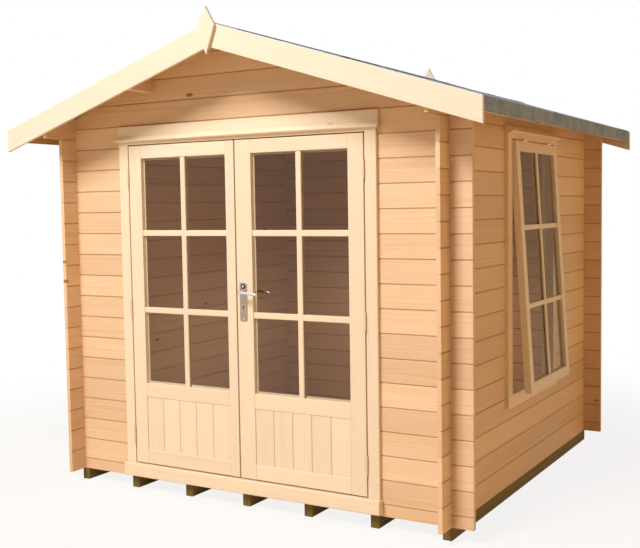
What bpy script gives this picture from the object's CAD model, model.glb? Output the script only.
"""The looks of a log-built garden room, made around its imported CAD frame. Metres, Z up, doors at -Y."""

import math

import bpy
import numpy as np
from mathutils import Matrix, Vector


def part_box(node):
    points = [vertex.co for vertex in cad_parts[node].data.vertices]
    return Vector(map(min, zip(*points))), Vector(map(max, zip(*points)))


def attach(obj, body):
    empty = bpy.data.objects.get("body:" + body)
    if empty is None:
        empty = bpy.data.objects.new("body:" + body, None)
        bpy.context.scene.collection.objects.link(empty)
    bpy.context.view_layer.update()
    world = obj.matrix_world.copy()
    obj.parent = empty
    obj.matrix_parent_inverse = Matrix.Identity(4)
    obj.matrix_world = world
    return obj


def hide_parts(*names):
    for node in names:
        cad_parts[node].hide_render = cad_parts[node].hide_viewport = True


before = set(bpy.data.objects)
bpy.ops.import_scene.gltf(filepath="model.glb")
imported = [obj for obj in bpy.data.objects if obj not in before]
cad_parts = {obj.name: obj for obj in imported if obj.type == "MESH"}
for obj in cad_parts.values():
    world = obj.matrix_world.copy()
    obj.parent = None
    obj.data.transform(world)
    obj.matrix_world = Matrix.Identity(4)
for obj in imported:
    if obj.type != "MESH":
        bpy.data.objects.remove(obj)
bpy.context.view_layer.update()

# ---------------------------------------------------------------------------
# Camera: eye height, off the right-hand corner of the door side, looking slightly down.
# It comes before the pieces, so that the view is settled first.

EYE = (2.791, -4.988, 1.500)
HEADING, DOWNWARD, ROLL = 30.54, 3.91, -0.88
SENSOR = 36.0
FOCAL = 54.84

camera_data = bpy.data.cameras.new("camera")
camera_data.sensor_width = SENSOR
camera_data.lens = FOCAL
camera = bpy.data.objects.new("camera", camera_data)
camera.matrix_world = (
    Matrix.Translation(EYE)
    @ Matrix.Rotation(math.radians(HEADING), 4, "Z")
    @ Matrix.Rotation(math.radians(90 - DOWNWARD), 4, "X")
    @ Matrix.Rotation(math.radians(ROLL), 4, "Z")
)
bpy.context.scene.collection.objects.link(camera)
bpy.context.scene.camera = camera

# ---------------------------------------------------------------------------
# Studio: a pale floor that fades to white, a large soft key lamp from the front left, low fills on
# the door side and, warmer, on the window side, a dim lamp in the room, and a white surround.


def plug(tree, socket, value):
    """Fills an input: an output is linked to it, a node by its first output, and a plain value is set."""
    if isinstance(value, bpy.types.Node):
        value = value.outputs[0]
    if isinstance(value, bpy.types.NodeSocket):
        tree.links.new(value, socket)
    else:
        socket.default_value = value


def add(tree, kind, *plugs, **values):
    """Adds a shader node. Plugs fill its inputs in order. Each named value fills the input of that name,
    or sets a property where no input has it."""
    new = tree.nodes.new(kind)
    for name, value in values.items():
        label = name.replace("_", " ")
        if label in new.inputs:
            plug(tree, new.inputs[label], value)
        else:
            setattr(new, name, value)
    for socket, value in zip(new.inputs, plugs):
        plug(tree, socket, value)
    return new


def calc(tree, operation, *plugs, **settings):
    """Adds a node that works out one number from others."""
    return add(tree, "ShaderNodeMath", *plugs, operation=operation, **settings)


def blended(tree, share, one, other, way="MIX"):
    """A colour between two others, by a share from 0 to 1. Plain colours are given as three numbers."""
    mix = add(tree, "ShaderNodeMix", data_type="RGBA", blend_type=way)
    for place, value in ((0, share), (6, one), (7, other)):
        plug(tree, mix.inputs[place], (*value, 1) if isinstance(value, tuple) else value)
    return mix.outputs[2]


def fresh_material(name):
    """An empty node material: the material, its tree and the input for its shader."""
    material = bpy.data.materials.new(name)
    material.use_nodes = True
    tree = material.node_tree
    tree.nodes.clear()
    return material, tree, tree.nodes.new("ShaderNodeOutputMaterial").inputs["Surface"]


def studio_floor():
    """A disc of ground: matt near the building, and turning pure white as seen from fade_from to fade_to."""
    fade_from, fade_to, radius, least = 1.6, 4.2, 60.0, 0.86
    angles = np.linspace(0, 2 * np.pi, 65)[:-1]
    ring = np.stack([np.cos(angles) * radius, np.sin(angles) * radius, 0 * angles], 1)
    mesh = bpy.data.meshes.new("studio_floor")
    mesh.from_pydata(ring.tolist(), [], [list(range(len(ring)))])
    floor = bpy.data.objects.new("studio_floor", mesh)
    bpy.context.scene.collection.objects.link(floor)
    material, tree, surface = fresh_material("floor_white")
    place = add(tree, "ShaderNodeTexCoord").outputs["Object"]
    reach = add(tree, "ShaderNodeVectorMath", place, operation="LENGTH").outputs["Value"]
    fade = add(tree, "ShaderNodeMapRange", reach, fade_from, fade_to, least, interpolation_type="SMOOTHSTEP")
    path = add(tree, "ShaderNodeLightPath")
    seen = calc(tree, "MAXIMUM", path.outputs["Is Camera Ray"], path.outputs["Is Glossy Ray"])
    matt = add(tree, "ShaderNodeBsdfDiffuse", (0.80, 0.66, 0.46, 1))
    glow = add(tree, "ShaderNodeEmission", (1, 1, 1, 1), 1.0)
    plug(tree, surface, add(tree, "ShaderNodeMixShader", calc(tree, "MULTIPLY", fade, seen), matt, glow))
    mesh.materials.append(material)


def studio_light(name, at, towards, size, power, colour):
    """A square soft lamp at a place, turned towards a point. Gives the lamp."""
    data = bpy.data.lights.new(name, "AREA")
    data.shape = "SQUARE"
    data.size = size
    data.energy = power
    data.color = colour
    lamp = bpy.data.objects.new(name, data)
    aim = Vector(towards) - Vector(at)
    lamp.matrix_world = Matrix.Translation(at) @ aim.to_track_quat("-Z", "Y").to_matrix().to_4x4()
    bpy.context.scene.collection.objects.link(lamp)
    return lamp


def studio_surround(level, warmth):
    """White where it is seen directly or mirrored, and dim and warm where it only lights the building."""
    world = bpy.data.worlds.new("surround")
    bpy.context.scene.world = world
    world.use_nodes = True
    tree = world.node_tree
    tree.nodes.clear()
    path = add(tree, "ShaderNodeLightPath")
    seen = calc(tree, "MAXIMUM", path.outputs["Is Camera Ray"], path.outputs["Is Glossy Ray"])
    seen = calc(tree, "MAXIMUM", seen, path.outputs["Is Transmission Ray"])
    strength = add(tree, "ShaderNodeMapRange", seen, To_Min=level, To_Max=1.0)
    white = add(tree, "ShaderNodeBackground", blended(tree, seen, warmth, (1, 1, 1)), strength)
    add(tree, "ShaderNodeOutputWorld", white)


def room_light():
    """A soft lamp in the middle of the room, unseen itself, for the daylight that fills it."""
    lamp = studio_light("room_light", (0.0, 0.2, 1.15), (0.0, 0.35, 0.0), 0.9, 4, (1.0, 0.97, 0.93))
    lamp.visible_camera = lamp.visible_glossy = lamp.visible_transmission = False


studio_floor()
room_light()
studio_surround(level=0.24, warmth=(1.0, 0.74, 0.45))
studio_light("key_lamp", (-0.9, -6.4, 7.2), (0, -0.8, 1.1), 2.6, 710, (0.99, 1.0, 1.02))
studio_light("door_side_fill", (-1.0, -9.0, 1.6), (0, -0.8, 1.1), 4.5, 60, (1.0, 1.0, 1.0))
studio_light("window_side_fill", (7.5, 1.2, 1.4), (1.1, 0.1, 1.0), 3.0, 88, (1.0, 0.58, 0.12))
bpy.context.scene.view_settings.view_transform = "Standard"

# ---------------------------------------------------------------------------
# Floor bearers: sawn softwood, pressure treated to a dull olive green. They lie front to back
# on the ground and everything stands on them.


def tube_faces(rings, count):
    """The faces of a closed tube of rings with count points each: quads between neighbours, and two caps."""
    i, j = np.meshgrid(np.arange(rings - 1), np.arange(count), indexing="ij")
    k = (j + 1) % count
    quads = np.stack([i * count + j, i * count + k, (i + 1) * count + k, (i + 1) * count + j], -1)
    caps = [list(range(count - 1, -1, -1)), list(range((rings - 1) * count, rings * count))]
    return quads.reshape(-1, 4).tolist() + caps


def board(outline, start, end, at, along, wide, cuts=(), ease=0.0012, fibre=None):
    """One length of timber: its cross-section carried along a line.

    outline is a closed loop of (wide, thick) offsets, with a third value of 1 where a joint's V is
    deepest. Point j of ring i is at + run_i * along + wide_j * W + thick_j * T with T = along x W.
    start and end are runs, or functions of (wide, thick) for bevelled ends. cuts are notches (from, to,
    low, high): between those runs the section keeps only wide values from low to high. ease is the
    chamfer on both ends, and fibre the way the fibres run where it isn't along.
    Returns points, faces and per point (run along the fibres, across, across, depth of the V)."""
    outline = np.asarray(outline, float)
    nxt = np.roll(outline, -1, 0)
    if np.sum(outline[:, 0] * nxt[:, 1] - nxt[:, 0] * outline[:, 1]) < 0:
        outline = outline[::-1]
    vee = outline[:, 2] if outline.shape[1] > 2 else np.zeros(len(outline))
    outline = outline[:, :2]
    along, wide = np.asarray(along, float), np.asarray(wide, float)
    thick = np.cross(along, wide)
    count = len(outline)
    first = start(*outline.T) if callable(start) else np.full(count, float(start))
    last = end(*outline.T) if callable(end) else np.full(count, float(end))
    low, high = outline.min(0), outline.max(0)
    middle, size = (low + high) / 2, high - low
    eased = middle + (outline - middle) * (1 - 2 * ease / size)
    rings, runs = [eased, outline], [first, first + ease]
    for a, b, keep_low, keep_high in sorted(cuts):
        notched = outline.copy()
        notched[:, 0] = notched[:, 0].clip(keep_low, keep_high)
        rings += [outline, notched, notched, outline]
        runs += [np.full(count, v) for v in (a, a, b, b)]
    rings += [outline, eased]
    runs += [last - ease, last]
    rings, runs = np.array(rings), np.array(runs)
    points = (np.asarray(at, float) + runs[..., None] * along
              + rings[..., :1] * wide + rings[..., 1:] * thick).reshape(-1, 3)
    if fibre is None:
        grain = np.concatenate([runs[..., None] + 0 * rings[..., :1], rings - middle], -1).reshape(-1, 3)
    else:
        fibre = np.asarray(fibre, float)
        side = np.cross(along, fibre)
        grain = np.stack([points @ fibre, points @ side, points @ along], 1)
        grain -= grain.mean(0)
    depth = np.tile(vee, (len(runs), 1))
    depth[[0, -1]] = 0
    return points, tube_faces(len(runs), count), np.column_stack([grain, depth.ravel()])


def eased_oblong(width, thickness, radius=0.0018, steps=2):
    """A rectangle about the middle with its corners rounded: each corner is a quarter circle."""
    turn = np.linspace(0, np.pi / 2, steps + 1)
    w, t = width / 2 - radius, thickness / 2 - radius
    corners = []
    for n, (sx, sy) in enumerate([(1, 1), (-1, 1), (-1, -1), (1, -1)]):
        angle = turn + n * np.pi / 2
        corners.append(np.stack([sx * w + radius * np.cos(angle), sy * t + radius * np.sin(angle)], 1))
    return np.concatenate(corners)


def make(name, boards, finish, body="building", stands_for=(), turn=None, smooth=False):
    """Joins boards into one object that rides on a body, and stands for CAD nodes where it replaces any.
    Each board gets its own tone and its own place in the tree:
    grain = place + (random run, distance of the pith across, distance of the pith below)."""
    points, faces, grain, tones, base = [], [], [], [], 0
    for p, f, g in boards:
        pith = (draw.uniform(-40, 40), draw.uniform(-0.05, 0.05), draw.uniform(0.025, 0.09))
        points.append(p)
        grain.append(g + np.array((*pith, 0)))
        tones.append(np.full(len(p), draw.uniform(0, 1)))
        faces += [[v + base for v in face] for face in f]
        base += len(p)
    points = np.concatenate(points)
    if turn is not None:
        points = turn(points)
    mesh = bpy.data.meshes.new(name)
    mesh.from_pydata(points.tolist(), [], faces)
    grain = np.concatenate(grain)
    mesh.attributes.new("grain", "FLOAT_VECTOR", "POINT").data.foreach_set("vector", grain[:, :3].ravel())
    mesh.attributes.new("vee", "FLOAT", "POINT").data.foreach_set("value", grain[:, 3])
    mesh.attributes.new("tone", "FLOAT", "POINT").data.foreach_set("value", np.concatenate(tones))
    mesh.polygons.foreach_set("use_smooth", np.full(len(mesh.polygons), smooth))
    mesh.materials.append(finish)
    made = bpy.data.objects.new(name, mesh)
    bpy.context.scene.collection.objects.link(made)
    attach(made, body)
    if stands_for:
        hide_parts(*stands_for)
    return made


def timber(name, pale, deep, knot, tones=((0.90, 0.87, 0.84), (1.04, 1.03, 1.02)), rings=0.42,
           rough=0.58, bump=0.25, knots=0.62, joint=(0.62, 0.50, 0.40)):
    """Softwood. The grain attribute runs along the fibres in x and across them in y and z.
    Annual rings: a saw wave of the distance from the pith, bent by slow noise that is stretched along x.
    Fibres: noise stretched forty times along x. Knots: cell points, dark within a small radius, of which
    only the share above the knots level shows. Each board is tinted by its tone attribute, and darkened
    by the joint colour towards the bottom of a V."""
    material, tree, surface = fresh_material(name)
    grain = add(tree, "ShaderNodeAttribute", attribute_name="grain").outputs["Vector"]
    tone = add(tree, "ShaderNodeAttribute", attribute_name="tone").outputs["Fac"]
    vee = add(tree, "ShaderNodeAttribute", attribute_name="vee").outputs["Fac"]

    def stretched(*by):
        return add(tree, "ShaderNodeVectorMath", grain, by, operation="MULTIPLY")

    wave = add(tree, "ShaderNodeTexWave", stretched(0.045, 1, 1), wave_type="RINGS", rings_direction="X",
               wave_profile="SAW", Scale=62.0, Distortion=7.0, Detail=2.0, Detail_Scale=0.32,
               Detail_Roughness=0.55)
    ring = add(tree, "ShaderNodeMapRange", wave.outputs["Fac"], 0.25, 1.0, interpolation_type="SMOOTHERSTEP")
    fibres = add(tree, "ShaderNodeTexNoise", stretched(7, 300, 300), Scale=1.0, Detail=4.0, Roughness=0.6)
    clouds = add(tree, "ShaderNodeTexNoise", stretched(1.6, 13, 13), Scale=1.0, Detail=3.0, Roughness=0.5)
    streaks = calc(tree, "MULTIPLY_ADD", fibres, 0.42, calc(tree, "MULTIPLY", ring, rings))
    clouded = calc(tree, "MULTIPLY_ADD", clouds, 0.55, streaks)
    colour = blended(tree, calc(tree, "SUBTRACT", clouded, 0.36, use_clamp=True), pale, deep)

    cells = add(tree, "ShaderNodeTexVoronoi", stretched(3.4, 8.5, 0.6), feature="F1", Scale=1.0,
                Randomness=0.85)
    near = add(tree, "ShaderNodeMapRange", cells.outputs["Distance"], 0.105, 0.055, 0.0, 1.0,
               interpolation_type="SMOOTHSTEP")
    chosen = calc(tree, "GREATER_THAN", add(tree, "ShaderNodeSeparateColor", cells.outputs["Color"]), knots)
    colour = blended(tree, calc(tree, "MULTIPLY", near, chosen), colour, knot)
    colour = blended(tree, 1.0, colour, blended(tree, tone, *tones), "MULTIPLY")
    colour = blended(tree, vee, colour, joint, "MULTIPLY")

    relief = add(tree, "ShaderNodeBump", Strength=bump, Distance=0.0008, Height=streaks)
    wood = add(tree, "ShaderNodeBsdfPrincipled", colour, Roughness=rough, IOR=1.45, Specular_IOR_Level=0.3,
               Normal=relief)
    plug(tree, surface, wood)
    return material


X, Y, Z = np.eye(3)
draw = np.random.default_rng(41)
treated = timber("olive_treated_timber", (0.20, 0.145, 0.036), (0.09, 0.062, 0.016), (0.05, 0.03, 0.008),
                 rings=0.5, rough=0.8, bump=0.7)
bearer_low, bearer_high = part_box("bearers")
BEARERS = 7
BEARER_W = 0.045
bearer_h = bearer_high[2] - bearer_low[2]
bearer_xs = np.linspace(bearer_low[0] + BEARER_W / 2, bearer_high[0] - BEARER_W / 2, BEARERS)
bearer_section = eased_oblong(bearer_h, BEARER_W, 0.0025)
make("floor_bearers",
     [board(bearer_section, bearer_low[1], bearer_high[1], (x, 0, bearer_h / 2), Y, Z) for x in bearer_xs],
     treated, stands_for=["bearers"])

# ---------------------------------------------------------------------------
# Floor boards: planed softwood, tongued and grooved, laid left to right across the bearers inside
# the walls. A small V shows along each joint.

pine_boards = timber("planed_board", (0.80, 0.56, 0.33), (0.62, 0.36, 0.155), (0.22, 0.09, 0.03))


def vee_outline(width, thickness, groove, both_faces=True):
    """A board's section with a chamfer along each long edge of its low face, and of its top one if asked."""
    w, t, g = width / 2, thickness / 2, groove
    top = [(w, t, 0), (-w, t, 0)]
    if both_faces:
        top = [(w, t - g, 1), (w - g, t, 0), (g - w, t, 0), (-w, t - g, 1)]
    return [(g - w, -t, 0), (w - g, -t, 0), (w, g - t, 1)] + top + [(-w, g - t, 1)]


def board_row(low, high, width):
    """The middles and the exact width of as many equal boards as fill the span from low to high."""
    count = max(1, round((high - low) / width))
    exact = (high - low) / count
    return low + exact * (np.arange(count) + 0.5), exact


FLOOR_BOARD_W = 0.112
floor_low, floor_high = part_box("floor")
floor_ys, floor_w = board_row(floor_low[1], floor_high[1], FLOOR_BOARD_W)
floor_section = vee_outline(floor_w, floor_high[2] - floor_low[2], 0.0015)
floor_mid = (floor_low[2] + floor_high[2]) / 2
make("floor_boards",
     [board(floor_section, floor_low[0], floor_high[0], (0, y, floor_mid), X, Y) for y in floor_ys],
     pine_boards, stands_for=["floor"])

# ---------------------------------------------------------------------------
# Wall logs: planed softwood 22 mm thick in 114 mm courses, with a V along every joint. The front and
# back walls start with a half log, so each crossing log sits half a course away from its neighbours,
# and both are notched by a quarter of a course above and below where they cross.

log_pine = timber("wall_log", (0.82, 0.585, 0.385), (0.69, 0.425, 0.215), (0.36, 0.16, 0.06),
                  rings=0.32, knots=0.78)
base_low, base_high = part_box("front_base_log")
left_low, left_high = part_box("left_wall")
top_low, top_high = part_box("left_top_log")
GROUND_LOG = base_low[2]
LOG_T = base_high[1] - base_low[1]
HALF = base_high[2] - base_low[2]
COURSE = 2 * HALF
QUARTER = HALF / 2
FRONT, BACK = base_low[1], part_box("back_wall")[1][1]
LEFT, RIGHT = left_low[0], -left_low[0]
ENDS = (base_low[0], base_high[0])
SIDE_ENDS = (left_low[1], left_high[1])
PLATE = top_low[2]
SIDE_TOP = PLATE + COURSE
CROSS_COURSES, SIDE_COURSES = 15, 16
PITCH = math.radians(17.7)
SLOPE = math.tan(PITCH)
GROOVE_D, GROOVE_H = 0.0035, 0.0050


def under_roof(x):
    """Height of the underside of the roof boards at a distance x from the ridge line."""
    return SIDE_TOP + (RIGHT - np.abs(x)) * SLOPE


def log_outline(height, vee_low=True, vee_high=True):
    """A log's section, from its lower edge up: flat faces, with half of a V at each joint."""
    d, h, t = GROOVE_D, GROOVE_H, LOG_T
    low, tail = [(0, t, 0), (0, 0, 0)], []
    if vee_low:
        low, tail = [(0, t - d, 1), (0, d, 1), (h, 0, 0)], [(h, t, 0)]
    high = [(height, 0, 0), (height, t, 0)]
    if vee_high:
        high = [(height - h, 0, 0), (height, d, 1), (height, t - d, 1), (height - h, t, 0)]
    return low + high + tail


def crossing_cuts(walls, height, low=QUARTER):
    """The notches of one log at each wall that crosses it: half of its height stays."""
    return [(a, a + LOG_T, low, height - QUARTER) for a in walls]


SIDES = ((-1, "left"), (1, "right"))
SIDE_WALLS = (LEFT, RIGHT - LOG_T)
END_WALLS = (FRONT, BACK - LOG_T)
front_zs = GROUND_LOG + HALF + COURSE * np.arange(CROSS_COURSES)
GABLE = GROUND_LOG + HALF + COURSE * CROSS_COURSES


def cross_log(z, start, end, y, cuts=None, height=COURSE, vee_low=True):
    """A log of the front or back wall. Its lower edge is at z and its inside face at y + LOG_T."""
    if cuts is None:
        cuts = crossing_cuts([w for w in SIDE_WALLS if start < w < end], height)
    return board(log_outline(height, vee_low), start, end, (0, y + LOG_T, z), X, Z, cuts)


CUT_CLEAR = 0.0015
TOP_CLEAR, LEAST_LOG = 0.012, 0.020


def slope_end(side, z):
    """Where a gable log that starts at height z ends: at its full length, or at the roof's slope."""
    def reach(up, across):
        return side * np.minimum(ENDS[1], RIGHT + (SIDE_TOP - z - up) / SLOPE - CUT_CLEAR)

    return reach


def gable_logs(y, doorway):
    """The logs of one gable, each bevelled to the roof. doorway is the notch over the door head or None."""
    logs = []
    z = GABLE
    apex = under_roof(0.0)
    while z < apex - LEAST_LOG:
        height = min(COURSE, apex - TOP_CLEAR - z)
        cuts = crossing_cuts(SIDE_WALLS, height) if z == GABLE else []
        if z == GABLE and doorway:
            cuts = cuts + [doorway]
        outline = log_outline(height, True, height == COURSE)
        logs.append(board(outline, slope_end(-1, z), slope_end(1, z), (0, y + LOG_T, z), X, Z, cuts))
        z += COURSE
    return logs


jamb_low, jamb_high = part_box("door_jamb_right")
head_low, head_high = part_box("door_head")
FRAME_BITE = 0.015
DOOR_CUT = jamb_high[0] - FRAME_BITE
base_cuts = crossing_cuts(SIDE_WALLS, HALF, low=0.0)
make("front_bottom_log", [cross_log(GROUND_LOG, *ENDS, FRONT, base_cuts, HALF, False)],
     log_pine, stands_for=["front_base_log"])
for word, start, end in (("left", ENDS[0], -DOOR_CUT), ("right", DOOR_CUT, ENDS[1])):
    make("front_logs_" + word, [cross_log(z, start, end, FRONT) for z in front_zs],
         log_pine, stands_for=["front_wall_" + word])
over_door = (-DOOR_CUT, DOOR_CUT, head_high[2] - FRAME_BITE - GABLE, COURSE)
make("front_gable_logs", gable_logs(FRONT, over_door),
     log_pine, stands_for=["front_gable"])
make("back_logs",
     [cross_log(GROUND_LOG, *ENDS, BACK - LOG_T, base_cuts, HALF, False)]
     + [cross_log(z, *ENDS, BACK - LOG_T) for z in front_zs],
     log_pine, stands_for=["back_wall"])
make("back_gable_logs", gable_logs(BACK - LOG_T, None),
     log_pine, stands_for=["back_gable"])

side_zs = GROUND_LOG + COURSE * np.arange(SIDE_COURSES)


def side_log(z, start, end, x, extra=()):
    """A log of a side wall. Its lower edge is at z and its faces are at x and x + LOG_T."""
    cuts = crossing_cuts([w for w in END_WALLS if start < w < end], COURSE) + list(extra)
    return board(log_outline(COURSE, z > GROUND_LOG + 0.001), start, end, (x, 0, z), Y, Z, cuts)


make("left_logs", [side_log(z, *SIDE_ENDS, LEFT) for z in side_zs],
     log_pine, stands_for=["left_wall"])
window_low, window_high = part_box("window_frame")
window_cut = (window_low[1] + FRAME_BITE, window_high[1] - FRAME_BITE)
sill_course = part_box("right_wall_lower")[1][2]
lower_logs = []
for z in side_zs[side_zs < sill_course - 0.01]:
    keep = window_low[2] + FRAME_BITE - z
    notch = [(*window_cut, 0.0, keep)] if keep < COURSE else []
    lower_logs.append(side_log(z, *SIDE_ENDS, RIGHT - LOG_T, notch))
make("right_logs_lower", lower_logs, log_pine, stands_for=["right_wall_lower"])
short_zs = side_zs[side_zs > sill_course - 0.01]
for word, start, end in (("front", SIDE_ENDS[0], window_cut[0]), ("rear", window_cut[1], SIDE_ENDS[1])):
    make("right_logs_" + word, [side_log(z, start, end, RIGHT - LOG_T) for z in short_zs],
         log_pine, stands_for=["right_wall_" + word])


def top_log(side):
    """The long top log of a side wall, bevelled to the roof. It carries the overhang at both ends."""
    outside = COURSE - 0.001
    inside = outside + LOG_T * SLOPE
    d, h, t = GROOVE_D, GROOVE_H, LOG_T
    over = (inside, outside) if side > 0 else (outside, inside)
    outline = [(0, t - d, 1), (0, d, 1), (h, 0, 0), (over[0], 0, 0), (over[1], t, 0), (h, t, 0)]
    x = RIGHT - LOG_T if side > 0 else LEFT
    cuts = crossing_cuts(END_WALLS, COURSE)
    return board(outline, top_low[1] + 0.0005, top_high[1] - 0.0005, (x, 0, PLATE), Y, Z, cuts)


for side, word in SIDES:
    make(word + "_plate_log", [top_log(side)], log_pine, stands_for=[word + "_top_log"])

# ---------------------------------------------------------------------------
# Doorway: planed joinery timber. Two grooved jambs slide over the cut log ends, with a head above
# and a saddle threshold over the bottom log. Stops behind the leaves close the gaps.

joinery = timber("pale_joinery", (0.855, 0.69, 0.515), (0.77, 0.575, 0.385), (0.45, 0.24, 0.10),
                 tones=((0.96, 0.95, 0.94), (1.02, 1.02, 1.02)), rings=0.30, rough=0.5, bump=0.18,
                 knots=0.93, joint=(0.72, 0.62, 0.52))
JAMB_W, HEAD_BELOW = 0.060, 0.023
STOP_T, STOP_GAP = 0.012, 0.005
FACE = jamb_low[1]
INSIDE = jamb_high[1]
CLEAR = jamb_high[0] - JAMB_W
GAP = 0.006
LEAF_T = 0.036
STOP_Y = FACE + LEAF_T + STOP_GAP
STOP_W, STOP_MID = INSIDE - STOP_Y, (INSIDE + STOP_Y) / 2
sill_low, sill_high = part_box("threshold")
SILL = jamb_low[2]
HEAD_TOP = head_high[2]
HEAD = HEAD_TOP - HEAD_BELOW


def upright(width, thickness, x, y, z_low, z_high, radius=0.0018):
    """A standing board between two heights, its middle at x, y, its width along X."""
    return board(eased_oblong(width, thickness, radius), z_low, z_high, (x, y, 0), Z, X)


def rail(height, thickness, x_low, x_high, y, z, radius=0.0018):
    """A level board along X between two places, its middle at y, z."""
    return board(eased_oblong(height, thickness, radius), x_low, x_high, (0, y, z), X, Z)


def across(section, x_low, x_high):
    """A length along X between two places. Its section is drawn as points (z, y)."""
    return board([(z, -y) for z, y in section], x_low, x_high, (0, 0, 0), X, Z)


def door_jamb(side):
    """The grooved post, in plan: an oblong whose outer edge has a slot as wide as the logs."""
    c, o, slot, log_in = 0.002, jamb_high[0], DOOR_CUT, FRONT + LOG_T
    plan = [(CLEAR + c, FACE), (o - c, FACE), (o, FACE + c), (o, FRONT), (slot, FRONT), (slot, log_in),
            (o, log_in), (o, INSIDE - c), (o - c, INSIDE), (CLEAR + c, INSIDE), (CLEAR, INSIDE - c),
            (CLEAR, FACE + c)]
    post = board([(side * x, y) for x, y in plan], SILL, HEAD, (0, 0, 0), Z, X)
    return [post, upright(STOP_T, STOP_W, side * (CLEAR - STOP_T / 2), STOP_MID, SILL + GAP + STOP_T, HEAD)]


for side, word in SIDES:
    make("jamb_" + word, door_jamb(side), joinery, stands_for=["door_jamb_" + word])
slot_z = HEAD_TOP - FRAME_BITE
head_section = [(HEAD, FACE), (HEAD_TOP, FACE), (HEAD_TOP, FRONT), (slot_z, FRONT), (slot_z, FRONT + LOG_T),
                (HEAD_TOP, FRONT + LOG_T), (HEAD_TOP, INSIDE), (HEAD, INSIDE)]
stop_h = GAP + STOP_T
make("head_of_doorway",
     [across(head_section, head_low[0], head_high[0]),
      rail(stop_h, STOP_W, STOP_T - CLEAR, CLEAR - STOP_T, STOP_MID, HEAD - stop_h / 2)],
     joinery, stands_for=["door_head"])
nose_y, sill_foot, log_top = sill_low[1], sill_low[2], GROUND_LOG + HALF
saddle = [(sill_foot, nose_y + 0.004), (sill_foot + 0.004, nose_y), (SILL - 0.005, nose_y),
          (SILL - 0.0015, nose_y + 0.0015), (SILL, nose_y + 0.005), (SILL, FRONT), (sill_foot, FRONT)]
inner_saddle = [(log_top, FRONT), (SILL, FRONT), (SILL, INSIDE), (floor_high[2], INSIDE),
                (floor_high[2], FRONT + LOG_T), (log_top, FRONT + LOG_T)]
make("door_threshold",
     [across(saddle, sill_low[0], sill_high[0]), across(inner_saddle, -DOOR_CUT, DOOR_CUT),
      rail(stop_h, STOP_W, 0.001 - CLEAR, CLEAR - 0.001, STOP_MID, SILL + stop_h / 2)],
     joinery, stands_for=["threshold"])

# ---------------------------------------------------------------------------
# Board over the doorway: a flat joinery board nailed to the gable logs, with a hollowed drip
# moulding along its foot that stands a little past both of its ends.

hood_low, hood_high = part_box("door_hood")
HOOD_T = 0.018
DRIP_OUT, DRIP_FOOT = 0.008, 0.006


def quarter(centre, radius, from_angle, to_angle, steps=5):
    """Points of an arc: centre + radius * (cos, sin) between two angles in degrees."""
    angles = np.radians(np.linspace(from_angle, to_angle, steps))
    return [(centre[0] + radius * math.cos(a), centre[1] + radius * math.sin(a)) for a in angles]


hood_foot = hood_low[2] + DRIP_FOOT
board_h = hood_high[2] - hood_foot
drip_foot, drip_y = hood_low[2], hood_low[1]
drip_section = ([(drip_foot, -FACE), (drip_foot, -drip_y - 0.003)]
                + quarter((drip_foot + 0.006, -drip_y - 0.006), 0.006, 120, 50)
                + quarter((hood_foot + 0.016, -drip_y + 0.001), 0.012, 225, 270)
                + [(hood_foot + 0.018, -FRONT + HOOD_T), (hood_foot, -FRONT + HOOD_T), (hood_foot, -FACE)])
make("hood_board",
     [rail(board_h, HOOD_T, hood_low[0] + DRIP_OUT, hood_high[0] - DRIP_OUT, FRONT - HOOD_T / 2,
           hood_foot + board_h / 2, 0.0025),
      board(drip_section, hood_low[0], hood_high[0], (0, 0, 0), X, Z)],
     joinery, stands_for=["door_hood"])

# ---------------------------------------------------------------------------
# Door leaves: stiles and rails of joinery timber, glass above and a boarded panel below. Glazing
# bars are planted on both faces of the glass, two across and one up.

PANE_NEAR, PANE_W, PANE_H = 0.077, 0.540, 1.186
PANE_FAR = PANE_NEAR + PANE_W
TOP_RAIL, LOCK_RAIL, FOOT_RAIL = 0.067, 0.075, 0.076
LEAF_LOW, LEAF_HIGH = SILL + GAP, HEAD - GAP
PANE_HIGH = LEAF_HIGH - TOP_RAIL
PANE_LOW = PANE_HIGH - PANE_H
PANEL_HIGH = PANE_LOW - LOCK_RAIL
PANEL_LOW = LEAF_LOW + FOOT_RAIL
BAR_W, BAR_BACK, BAR_ROUND = 0.030, 0.004, 0.004
PANEL_T, PANEL_BOARD_W, PANEL_TONGUE = 0.030, 0.108, 0.006
GLASS_T = 0.004
LEAF_Y = FACE + LEAF_T / 2


def bar_heights(low, high, width, rows=3):
    """The middles of the level bars that part a pane into equal rows."""
    n = np.arange(1, rows)
    return low + n * (high - low - (rows - 1) * width) / rows + (n - 0.5) * width


def glazing_bars(x_low, x_high, z_low, z_high):
    """Bars over one pane on both of its faces: one up and two across, flat with rounded shoulders."""
    bars = []
    for out_y in (-1, 1):
        inner, outer = out_y * GLASS_T / 2, out_y * (LEAF_T / 2 - BAR_BACK)
        y, depth = LEAF_Y + (inner + outer) / 2, abs(outer - inner)
        bars.append(upright(BAR_W, depth, (x_low + x_high) / 2, y, z_low, z_high, BAR_ROUND))
        bars += [rail(BAR_W, depth - 0.0008, x_low, x_high, y, z, BAR_ROUND)
                 for z in bar_heights(z_low, z_high, BAR_W)]
    return bars


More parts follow.
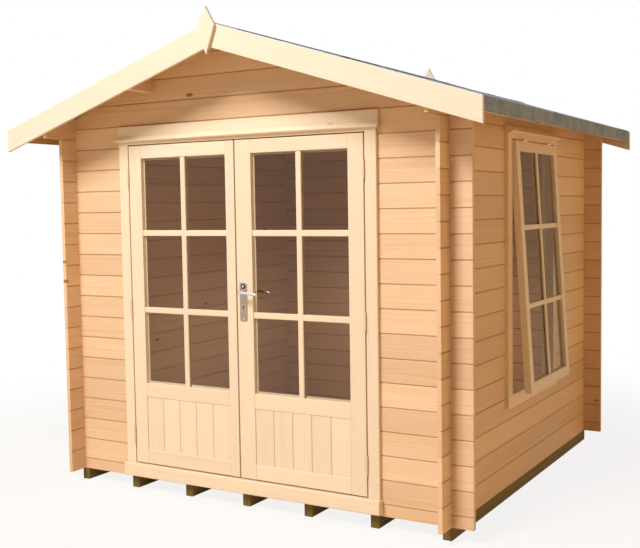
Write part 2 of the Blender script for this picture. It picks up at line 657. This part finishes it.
def glazing_beads(x_low, x_high, z_low, z_high, y_glass, y_out, width=0.010):
    """Splayed beads that hold the glass in, mitred at the corners: a run starts further in by its width."""
    depth = y_out - y_glass
    section = np.array([(0, 0), (0, depth), (width * 0.35, depth), (width, depth * 0.25), (width, 0)])

    def bead(at, along, inwards, start, end, turned_over):
        return board(section * (1, turned_over), lambda up, out: start + up, lambda up, out: end - up,
                     at, along, inwards, ease=0.0002)

    return [bead((0, y_glass, z_low), X, Z, x_low, x_high, -1),
            bead((0, y_glass, z_high), X, -Z, x_low, x_high, 1),
            bead((x_low, y_glass, 0), Z, X, z_low, z_high, 1),
            bead((x_high, y_glass, 0), Z, -X, z_low, z_high, -1)]


def door_leaf(side, near, far):
    """Frame of one leaf between its meeting edge and its hinge edge, both as distances from the middle."""
    a, b = sorted((side * near, side * far))
    g, h = sorted((side * PANE_NEAR, side * PANE_FAR))
    stiles = [upright(g - a, LEAF_T, (a + g) / 2, LEAF_Y, LEAF_LOW, LEAF_HIGH, 0.0025),
              upright(b - h, LEAF_T, (h + b) / 2, LEAF_Y, LEAF_LOW, LEAF_HIGH, 0.0025)]
    levels = ((LEAF_LOW, PANEL_LOW), (PANEL_HIGH, PANE_LOW), (PANE_HIGH, LEAF_HIGH))
    rails = [rail(high - low, LEAF_T - 0.0004, g, h, LEAF_Y, (low + high) / 2, 0.0025)
             for low, high in levels]
    beads = glazing_beads(g, h, PANE_LOW, PANE_HIGH, LEAF_Y + GLASS_T / 2, FACE + LEAF_T - 0.003)
    return stiles + rails + glazing_bars(g, h, PANE_LOW, PANE_HIGH) + beads


def door_panel(side):
    """Five upright boards, each with a V along its edges, let into the leaf."""
    g, h = sorted((side * PANE_NEAR, side * PANE_FAR))
    xs, width = board_row(g, h, PANEL_BOARD_W)
    section = vee_outline(width, PANEL_T, 0.0028)
    return [board(section, PANEL_LOW - PANEL_TONGUE, PANEL_HIGH + PANEL_TONGUE, (x, LEAF_Y, 0), Z, X)
            for x in xs]


for side, word in SIDES:
    near, far = sorted(side * corner[0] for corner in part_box(word + "_door_frame"))
    make(word + "_leaf", door_leaf(side, near, far),
         joinery, word + "_door", [word + "_door_frame"])
    make(word + "_leaf_panel", door_panel(side),
         joinery, word + "_door", [word + "_door_panel"])

# ---------------------------------------------------------------------------
# Glass: clear 4 mm sheet in grooves of the leaves and the casement. Its shape is kept as the CAD
# made it. The panes of the doors mirror the pale surroundings, and the casement's does so less.


def clear_glass(name, shine):
    """A pane that lets light straight through. Its near face mirrors by Fresnel's rule times the colour
    shine, and its far face doesn't, because a ray that isn't bent would meet it past the angle of
    total reflection."""
    material, tree, surface = fresh_material(name)
    through = add(tree, "ShaderNodeBsdfTransparent", (0.90, 0.91, 0.88, 1))
    mirror = add(tree, "ShaderNodeBsdfGlossy", (*shine, 1), Roughness=0.03)
    far_face = add(tree, "ShaderNodeNewGeometry").outputs["Backfacing"]
    near_face = calc(tree, "SUBTRACT", 1.0, far_face)
    share = calc(tree, "MULTIPLY", add(tree, "ShaderNodeFresnel", IOR=1.5), near_face)
    plug(tree, surface, add(tree, "ShaderNodeMixShader", share, through, mirror))
    return material


def finish_node(node, material):
    """Gives a CAD node its finish and leaves its shape alone."""
    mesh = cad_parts[node].data
    mesh.materials.clear()
    mesh.materials.append(material)


door_glass = clear_glass("clear_glass", (0.92, 0.90, 0.88))
finish_node("left_door_glass", door_glass)
finish_node("right_door_glass", door_glass)
finish_node("casement_glass", clear_glass("casement_sheet", (0.32, 0.25, 0.18)))

# ---------------------------------------------------------------------------
# Ironmongery: brassed butt hinges and stay, and on each face of the right leaf a long lock plate with
# a keyhole, screws, a round latch turn and a steel lever on the spindle that runs through both.


def satin_steel(name, colour, rough):
    """Satin metal. Its roughness wanders a little, by noise on Object coordinates."""
    material, tree, surface = fresh_material(name)
    place = add(tree, "ShaderNodeTexCoord").outputs["Object"]
    noise = add(tree, "ShaderNodeTexNoise", place, Scale=90.0, Detail=2.0)
    spread = add(tree, "ShaderNodeMapRange", noise, To_Min=rough - 0.06, To_Max=rough + 0.06)
    plug(tree, surface, add(tree, "ShaderNodeBsdfPrincipled", (*colour, 1), Metallic=1.0, Roughness=spread))
    return material


steel = satin_steel("satin_steel", (0.66, 0.64, 0.60), 0.30)
plate_metal = satin_steel("bronzed_plate", (0.40, 0.31, 0.22), 0.36)
dark_steel = satin_steel("shadowed_steel", (0.05, 0.045, 0.04), 0.5)
brassed = satin_steel("brassed_hinge_steel", (0.74, 0.56, 0.37), 0.48)
for node in ("left_door_hinges", "right_door_hinges", "frame_hinges", "casement_hinges", "casement_stay"):
    finish_node(node, brassed)


def shell(points, rings, count):
    """A closed tube of metal or felt, which has no grain."""
    points = points.reshape(-1, 3)
    return points, tube_faces(rings, count), np.zeros((len(points), 4))


def turned(profile, at, axis, steps=20):
    """A turned part: a profile of (distance along the axis, radius) swept once round the axis."""
    profile, axis = np.asarray(profile, float), np.asarray(axis, float)
    side = np.cross(axis, Z if abs(axis[2]) < 0.9 else X)
    side /= np.linalg.norm(side)
    angle = np.arange(steps)[:, None] * 2 * np.pi / steps
    outwards = np.cos(angle) * side + np.sin(angle) * np.cross(axis, side)
    points = np.asarray(at, float) + profile[:, None, :1] * axis + profile[:, None, 1:] * outwards
    return shell(points, len(profile), steps)


def swept_bar(path, radii, steps=16):
    """A round bar along a path in the XZ plane: each ring stands square to the path's direction."""
    ahead = np.gradient(path, axis=0)
    ahead /= np.linalg.norm(ahead, axis=1, keepdims=True)
    upwards = np.cross(ahead, Y)[:, None]
    angle = np.arange(steps)[:, None] * 2 * np.pi / steps
    points = (path[:, None] + radii[:, None, :1] * np.cos(angle) * Y
              + radii[:, None, 1:] * np.sin(angle) * upwards)
    return shell(points, len(path), steps)


def dome(at, axis, radius, height):
    """A screw or nail head: radius * cos(t), height * sin(t)."""
    t = np.linspace(0, np.pi / 2 * 0.9, 4)
    profile = [(-height, radius)] + [(height * math.sin(a), radius * math.cos(a)) for a in t]
    return turned(profile, at, axis, 10)


plate_low, plate_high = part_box("lock_plates")
lever_low, lever_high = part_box("lever_handle")
PLATE_T = 0.0025
KEY_BELOW, LATCH_ABOVE = 0.074, 0.0275
lever_x = (plate_low[0] + plate_high[0]) / 2
lever_z = (lever_low[2] + lever_high[2]) / 2
plate_w, plate_h = plate_high[0] - plate_low[0], plate_high[2] - plate_low[2]
plate_mid = (plate_low[2] + plate_high[2]) / 2
key_z = lever_z - KEY_BELOW
latch_z = lever_z + LATCH_ABOVE
plates, keyholes, screws = [], [], []
for y, out_y in ((plate_low[1] + PLATE_T / 2, -1), (plate_high[1] - PLATE_T / 2, 1)):
    face, outwards = y + out_y * PLATE_T / 2, out_y * Y
    spindle, key, latch = [(lever_x, face, z) for z in (lever_z, key_z, latch_z)]
    plates.append(board(eased_oblong(plate_w, plate_h, 0.0105, 6), -PLATE_T / 2, PLATE_T / 2,
                        (lever_x, y, plate_mid), Y, X, ease=0.0008, fibre=Z))
    screws += [dome((lever_x, face, plate_mid + up * (plate_h / 2 - 0.012)), outwards, 0.0035, 0.0007)
               for up in (-1, 1)]
    rose = [(-0.001, 0.0135), (0.0035, 0.0135), (0.0060, 0.0115), (0.0062, 0.0098)]
    plates.append(turned(rose, spindle, outwards, 28))
    keyholes.append(turned([(-0.001, 0.0042), (0.0003, 0.0042)], key, outwards, 16))
    keyholes.append(board(eased_oblong(0.0034, 0.013, 0.0008), -0.0003, 0.0003,
                          (lever_x, face, key_z - 0.007), Y, X, ease=0.0001, fibre=Z))
    keyholes.append(turned([(-0.001, 0.0130), (0.0016, 0.0130), (0.0028, 0.0112)], latch, outwards, 24))
    screws.append(turned([(0.0, 0.0058), (0.0048, 0.0058), (0.0058, 0.0046)], latch, outwards, 20))
make("lock_face_plates", plates, plate_metal, "right_door", ["lock_plates"])
make("lock_screws_and_latch", screws, steel, "right_door")
make("keyholes_and_latch_rings", keyholes, dark_steel, "right_door")


LEVER_DROP = 0.008
LEVER_HALF_H, LEVER_HALF_T, LEVER_TAPER = 0.0085, 0.0058, 0.0022


def lever(out_y, bar_y):
    """One lever: a neck square to the leaf, and a bar that falls by LEVER_DROP * s^2 over its length s
    from 0 to 1, tapers towards its tip and is rounded off at both ends."""
    s = np.linspace(0, 1, 26)
    length = lever_high[0] - lever_x - 0.001
    run = -0.004 + s * (length + 0.004)
    path = np.stack([lever_x + run, np.full(26, bar_y), lever_z - LEVER_DROP * s ** 2], 1)
    tip = np.sqrt(np.clip(1 - ((s - 0.93) / 0.07).clip(0, 1) ** 2, 0.02, 1))
    heel = np.sqrt(np.clip(1 - ((0.08 - s) / 0.08).clip(0, 1) ** 2, 0.02, 1))
    radii = np.stack([LEVER_HALF_T * tip * heel, (LEVER_HALF_H - LEVER_TAPER * s) * tip * heel], 1)
    leaf_face = LEAF_Y + out_y * LEAF_T / 2
    neck = [(0, 0.0088), (0.010, 0.0088), (0.014, 0.0072), (abs(bar_y - leaf_face), 0.0068)]
    return [swept_bar(path, radii), turned(neck, (lever_x, leaf_face, lever_z), out_y * Y, 24)]


lever_parts = lever(-1, lever_low[1] + LEVER_HALF_H) + lever(1, lever_high[1] - LEVER_HALF_H)
lever_parts.append(turned([(0, 0.0045), (LEAF_T, 0.0045)], (lever_x, FACE, lever_z), Y, 12))
make("lever_handles", lever_parts, steel, "lever", ["lever_handle"], smooth=True)

# ---------------------------------------------------------------------------
# Window: a grooved frame over the cut logs of the right wall, with a drip cap, and a top-hung
# casement of six panes that is held a little open by its stay.

WIN_FACE, WIN_SILL, PROUD = 0.060, 0.068, 0.020
SASH_W, SASH_T, SASH_GAP = 0.052, 0.036, 0.006
SASH_BAR, SASH_OUT = 0.026, 0.016
CASEMENT_STOP_W, CASEMENT_STOP_T = 0.014, 0.018
OPEN = math.radians(3.6)
win_x = RIGHT - LOG_T / 2
win_depth = LOG_T + 2 * PROUD
win_in = (window_low[1] + WIN_FACE, window_high[1] - WIN_FACE)
win_in_z = (window_low[2] + WIN_SILL, window_high[2] - WIN_FACE)
SASH_TOP = win_in_z[1] - SASH_GAP
SASH_X = RIGHT + PROUD + SASH_OUT


def level(height, thickness, y_low, y_high, x, z, radius=0.002):
    """A level board along Y between two places, its middle at x, z."""
    return board(eased_oblong(height, thickness, radius), y_low, y_high, (x, 0, z), Y, Z)


def standing(width, thickness, y, x, z_low, z_high, radius=0.002):
    """A standing board whose width lies along Y, its middle at x, y."""
    return board(eased_oblong(width, thickness, radius), z_low, z_high, (x, y, 0), Z, Y)


def swing(points):
    """Turns points about the casement's top outside edge: x' = x cos a - z sin a, z' = x sin a + z cos a."""
    c, s = math.cos(OPEN), math.sin(OPEN)
    x, z = points[:, 0] - SASH_X, points[:, 2] - SASH_TOP
    return np.stack([SASH_X + x * c - z * s, points[:, 1], SASH_TOP + x * s + z * c], 1)


frame_boards = [standing(WIN_FACE, win_depth, (outer + inner) / 2, win_x, win_in_z[0], win_in_z[1])
                for outer, inner in zip((window_low[1], window_high[1]), win_in)]
for height, z in ((WIN_SILL, window_low[2] + WIN_SILL / 2), (WIN_FACE, window_high[2] - WIN_FACE / 2)):
    frame_boards.append(level(height, win_depth, window_low[1], window_high[1], win_x, z))
stop_x = RIGHT - LOG_T - PROUD + CASEMENT_STOP_T / 2
frame_boards += [standing(CASEMENT_STOP_W, CASEMENT_STOP_T, y, stop_x, *win_in_z)
                 for y in (win_in[0] + CASEMENT_STOP_W / 2, win_in[1] - CASEMENT_STOP_W / 2)]
make("window_frame_boards", frame_boards, joinery, stands_for=["window_frame"])


def lengthways(section, y_low, y_high, side=1):
    """A length along Y between two places. Its section is drawn as points (z, x), x for the right side."""
    return board([(z, side * x) for z, x in section], y_low, y_high, (0, 0, 0), Y, Z)


cap_low, cap_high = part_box("window_cap")
top_z = window_high[2]
face_x = RIGHT + PROUD
cap_section = [(top_z - 0.032, face_x), (top_z - 0.032, face_x + 0.013), (top_z - 0.029, face_x + 0.020),
               (top_z - 0.024, face_x + 0.0255), (top_z - 0.018, face_x + 0.0255),
               (top_z - 0.010, face_x + 0.016), (top_z + 0.002, face_x + 0.010), (top_z + 0.009, RIGHT),
               (top_z, RIGHT), (top_z, face_x)]
make("window_drip_cap", [lengthways(cap_section, cap_low[1], cap_high[1])],
     joinery, stands_for=["window_cap"])

sash_y = (win_in[0] + SASH_GAP, win_in[1] - SASH_GAP)
sash_low = win_in_z[0] + SASH_GAP
sash_x = SASH_X - SASH_T / 2
inner_y = (sash_y[0] + SASH_W, sash_y[1] - SASH_W)
inner_z = (sash_low + SASH_W, SASH_TOP - SASH_W)
sash = [standing(SASH_W, SASH_T, (a + b) / 2, sash_x, sash_low, SASH_TOP, 0.0025)
        for a, b in ((sash_y[0], inner_y[0]), (inner_y[1], sash_y[1]))]
sash += [level(SASH_W, SASH_T - 0.0004, *inner_y, sash_x, (a + b) / 2, 0.0025)
         for a, b in ((sash_low, inner_z[0]), (inner_z[1], SASH_TOP))]
for out_x in (-1, 1):
    inner, outer = out_x * GLASS_T / 2, out_x * (SASH_T / 2 - 0.005)
    x, depth = sash_x + (inner + outer) / 2, abs(outer - inner)
    sash.append(standing(SASH_BAR, depth, sum(inner_y) / 2, x, *inner_z, BAR_ROUND))
    sash += [level(SASH_BAR, depth - 0.0008, *inner_y, x, z, BAR_ROUND)
             for z in bar_heights(*inner_z, SASH_BAR)]
make("casement_boards", sash, joinery, stands_for=["casement_frame"], turn=swing)

# ---------------------------------------------------------------------------
# Roof timbers: purlins run through both gables, and boards go down each slope from the ridge with
# their V joints showing below. Battens stiffen the eaves.

purlin_low, purlin_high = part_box("purlins")
PURLIN_X, PURLIN_W, PURLIN_H = 0.560, 0.045, 0.066
SEAT = 0.0006
a, b, c, r = PURLIN_X - PURLIN_W / 2, PURLIN_X + PURLIN_W / 2, 0.003, PURLIN_W / 2
foot = under_roof(b) - PURLIN_H
section = [(foot, a + c), (foot, b - c), (foot + c, b), (under_roof(b) - SEAT, b), (under_roof(a) - SEAT, a),
           (foot + c, a)]
purlins = [lengthways(section, purlin_low[1], purlin_high[1], side) for side in (-1, 1)]
ridge_foot, ridge_side = under_roof(r) - PURLIN_H, under_roof(r) - SEAT
section = [(ridge_foot, -r), (ridge_foot, r), (ridge_side, r), (under_roof(0.0) - SEAT, 0), (ridge_side, -r)]
purlins.append(lengthways(section, purlin_low[1], purlin_high[1]))
make("roof_purlins", purlins, log_pine, stands_for=["purlins"])

ROOF_T, ROOF_BOARD_W = 0.016, 0.089
roof_low, roof_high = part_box("roof_right")
boards_end = roof_high[0]
COS, SIN = math.cos(PITCH), math.sin(PITCH)


def down_slope(side, outline, y, far_x, lift, on_edge=False):
    """A board down one slope, flat or on edge, its middle lift above the underside of the roof boards. It
    is plumb cut at the ridge and at far_x: at the height h square to the slope, a plumb plane at x cuts
    it at the run (x - h sin p) / cos p."""
    along, up = np.array([side * COS, 0, -SIN]), np.array([side * SIN, 0, COS])

    def plumb(x):
        return lambda wide, thick: (x - ((wide if on_edge else thick) + lift) * SIN) / COS

    at = np.array([0, y, under_roof(0.0)]) + lift * up
    return board(outline, plumb(0.0), plumb(far_x), at, along, up if on_edge else side * Y)


roof_ys, roof_w = board_row(roof_low[1], roof_high[1], ROOF_BOARD_W)
roof_section = vee_outline(roof_w, ROOF_T, 0.0025, both_faces=False)
for side, word in SIDES:
    make("roof_boards_" + word, [down_slope(side, roof_section, y, boards_end, ROOF_T / 2) for y in roof_ys],
         pine_boards, stands_for=["roof_" + word])
batten_low, batten_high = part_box("eave_battens")
BATTEN_T, BATTEN_CLEAR = 0.018, 0.0003
outer = batten_high[0] - BATTEN_CLEAR
inner = outer - BATTEN_T
inner_top, outer_top = [under_roof(x) + ROOF_T / COS - BATTEN_CLEAR for x in (inner, outer)]
section = [(batten_low[2], inner), (batten_low[2], outer), (outer_top, outer), (inner_top, inner)]
batten_boards = [lengthways(section, batten_low[1], batten_high[1], side) for side in (-1, 1)]
make("eaves_battens", batten_boards, pine_boards, stands_for=["eave_battens"])

# ---------------------------------------------------------------------------
# Felt: mineral felt in strips along the roof, the upper strip lapped over the lower one, a capping
# strip over the ridge, the lower edge folded down over the eaves batten, and clout nails.


def mineral_felt():
    """Blue-grey granules: cells a few millimetres wide with their own shades, over slow weathering."""
    material, tree, surface = fresh_material("mineral_felt")
    place = add(tree, "ShaderNodeTexCoord").outputs["Object"]
    grit = add(tree, "ShaderNodeTexVoronoi", place, feature="F1", Scale=260.0, Randomness=1.0)
    shade = add(tree, "ShaderNodeSeparateColor", grit.outputs["Color"])
    patches = add(tree, "ShaderNodeTexNoise", place, Scale=9.0, Detail=5.0, Roughness=0.6)
    ramp = add(tree, "ShaderNodeValToRGB", calc(tree, "MULTIPLY_ADD", shade, 0.55, patches))
    dark, light = ramp.color_ramp.elements
    dark.position, dark.color = 0.30, (0.125, 0.155, 0.225, 1)
    light.position, light.color = 0.95, (0.38, 0.45, 0.60, 1)
    relief = add(tree, "ShaderNodeBump", Strength=0.6, Distance=0.0012, Height=grit.outputs["Distance"])
    felt = add(tree, "ShaderNodeBsdfPrincipled", ramp, Roughness=0.93, Specular_IOR_Level=0.2, Normal=relief)
    plug(tree, surface, felt)
    return material


def ripple(y, phase, size):
    """A small slow unevenness along Y: three sines of unrelated lengths."""
    slow, quick, fine = np.sin(5.1 * y + phase), np.sin(11.7 * y + 2.3 * phase), np.sin(29 * y + phase)
    return size * (slow + 0.6 * quick + 0.3 * fine) / 1.9


def felt_sheet(path, y_low, y_high, thickness, phase, size=0.0008, wave_edge=0.0, steps=90):
    """A strip of felt: a path in X and Z carried along Y, with its own thickness square to the path.
    The ripple grows along the path, and the height of its last edge wanders by wave_edge."""
    path = np.asarray(path, float)
    ahead = np.gradient(path, axis=0)
    ahead /= np.linalg.norm(ahead, axis=1, keepdims=True)
    side = math.copysign(1, path[-1, 0] - path[0, 0])
    outwards = side * np.stack([-ahead[:, 1], ahead[:, 0]], 1)
    ys = np.linspace(y_low, y_high, steps)
    grow = np.linspace(0.2, 1, len(path))[:, None]
    lift = thickness + np.abs(ripple(ys, phase + np.arange(len(path))[:, None] * 0.35, size)) * grow
    below = np.repeat(path[:, None], steps, 1)
    above = below + lift[..., None] * outwards[:, None]
    edge = ripple(ys, phase * 1.7, wave_edge)
    below[-1, :, 1] += edge
    above[-1, :, 1] += edge
    loop = np.concatenate([below, above[::-1]])
    points = np.stack([loop[..., 0], np.tile(ys, (len(loop), 1)), loop[..., 1]], -1).transpose(1, 0, 2)
    points, faces, grain = shell(points, steps, len(loop))
    if side > 0:
        faces = [face[::-1] for face in faces]
    return points, faces, grain


felt_low, felt_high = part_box("felt_right")
FELT_T = 0.003
EAVE_X = felt_high[0] - FELT_T
FELT_DROP = felt_low[2]
LAP_X, LAP_W = 0.62, 0.075
STRIP_T, RIDGE_STRIP_T = 0.0022, 0.002
RIDGE_STRIP_HALF = 0.16
mineral = mineral_felt()


def roof_top(x, lift=0.0):
    """Height of the top of the roof boards at x, raised square to the slope by lift."""
    return under_roof(x) + (ROOF_T + lift) / COS


def fold_path(from_x, lift):
    """Down the slope, round the eaves corner on a small arc, and down the batten."""
    bend = 0.009
    down = [(x, roof_top(x, lift)) for x in np.linspace(from_x, EAVE_X - bend, 8)]
    centre = (EAVE_X - bend, roof_top(EAVE_X - bend, lift) - bend / COS)
    arc = quarter(centre, bend, 90 - math.degrees(PITCH), 0, 7)[1:]
    fall = [(EAVE_X, z) for z in np.linspace(arc[-1][1] - 0.008, FELT_DROP + 0.004, 4)]
    return down + arc + fall


y_low, y_high = felt_low[1] + 0.001, felt_high[1] - 0.001
for side, word in SIDES:
    lower = [(side * x, z) for x, z in fold_path(LAP_X, 0.0)]
    xs = np.linspace(0.0, LAP_X + LAP_W, 9)
    upper = [(side * x, roof_top(x, 0.0 if x < LAP_X else FELT_T)) for x in xs]
    strips = [felt_sheet(lower, y_low, y_high, STRIP_T, 1.3 + side, wave_edge=0.0025),
              felt_sheet(upper, y_low, y_high, STRIP_T, 4.1 + side, wave_edge=0.0015)]
    make("felt_strips_" + word, strips, mineral, stands_for=["felt_" + word])
cap_path = [(x, roof_top(x, FELT_T + 0.0006) - 0.006 * math.exp(-(x / 0.02) ** 2))
            for x in np.linspace(-RIDGE_STRIP_HALF, RIDGE_STRIP_HALF, 13)]
make("ridge_felt", [felt_sheet(cap_path, y_low, y_high, RIDGE_STRIP_T, 2.2)], mineral)

# ---------------------------------------------------------------------------
# Barge boards and finials: pale boards over the ends of the purlins and roof boards, mitred at
# the ridge behind a kite-shaped board.

barge = timber("barge_board", (0.82, 0.70, 0.55), (0.76, 0.62, 0.455), (0.5, 0.30, 0.15),
               tones=((0.97, 0.96, 0.95), (1.02, 1.02, 1.02)), rings=0.34, rough=0.5, bump=0.18, knots=0.9)
BARGE_H = 0.115 * COS
BARGE_UP = -0.003
BARGE_END = 0.0006


def barge_board(side, y):
    """One barge board about y, its top edge a little below the top of the felt."""
    section = eased_oblong(BARGE_H, barge_high[1] - barge_low[1] - 0.0002, 0.003, 3)
    middle = ROOF_T + FELT_T + BARGE_UP * COS - BARGE_H / 2
    return down_slope(side, section, y, barge_high[0] - BARGE_END, middle, on_edge=True)


for end in ("front", "rear"):
    barge_low, barge_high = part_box(f"{end}_barge_right")
    for side, word in SIDES:
        make(f"{end}_{word}_bargeboard", [barge_board(side, (barge_low[1] + barge_high[1]) / 2)], barge,
             stands_for=[f"{end}_barge_{word}"])
finial_low, finial_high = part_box("finials")
front_face, rear_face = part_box("front_barge_left")[0][1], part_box("rear_barge_left")[1][1]
finial_w = finial_high[0]
waist = finial_high[2] - 0.4 * (finial_high[2] - finial_low[2])
kite = [(0, 0.0005 - finial_high[2]), (finial_w, -waist), (0, -finial_low[2]), (-finial_w, -waist)]
kites = [board(kite, start, end, (0, 0, 0), Y, X, ease=0.0022, fibre=Z)
         for start, end in ((finial_low[1], front_face), (rear_face, finial_high[1]))]
make("kite_finials", kites, barge, stands_for=["finials"])

# ---------------------------------------------------------------------------
# Nails: bright wire nail heads in the barge boards and the board over the doorway, and clout
# nails with broad heads along the laps and the folded edge of the felt.

bright_nail = satin_steel("bright_nail", (0.55, 0.52, 0.48), 0.35)
clout = satin_steel("galvanised_clout", (0.42, 0.43, 0.44), 0.45)
nails = []
for face, out_y in ((front_face, -1), (rear_face, 1)):
    for side in (-1, 1):
        for x in (0.09, PURLIN_X - 0.010, PURLIN_X + 0.012, RIGHT - 0.010, 1.31):
            top = roof_top(x, FELT_T) + BARGE_UP
            nails += [dome((side * x, face, top - drop), out_y * Y, 0.0028, 0.0006)
                      for drop in (0.030, 0.085)]
nails += [dome((x, FRONT - HOOD_T, hood_foot + 0.045), -Y, 0.0025, 0.0005)
          for x in np.linspace(hood_low[0] + 0.05, hood_high[0] - 0.05, 6)]
make("wire_nails", nails, bright_nail)
clouts = []
lap_row, ridge_row = LAP_X + 0.055, RIDGE_STRIP_HALF - 0.015
for side in (-1, 1):
    up = np.array([side * SIN, 0, COS])
    for y in np.arange(felt_low[1] + 0.05, felt_high[1] - 0.03, 0.10):
        clouts += [dome((side * x, place, roof_top(x, 2 * FELT_T)), up, 0.0048, 0.0008)
                   for x, place in ((lap_row, y), (ridge_row, y + 0.04))]
    for y in np.arange(felt_low[1] + 0.16, felt_high[1] - 0.03, 0.28):
        clouts.append(dome((side * (EAVE_X + FELT_T - 0.0012), y, FELT_DROP + 0.030), side * X,
                           0.0048, 0.0008))
make("clout_nails", clouts, clout)
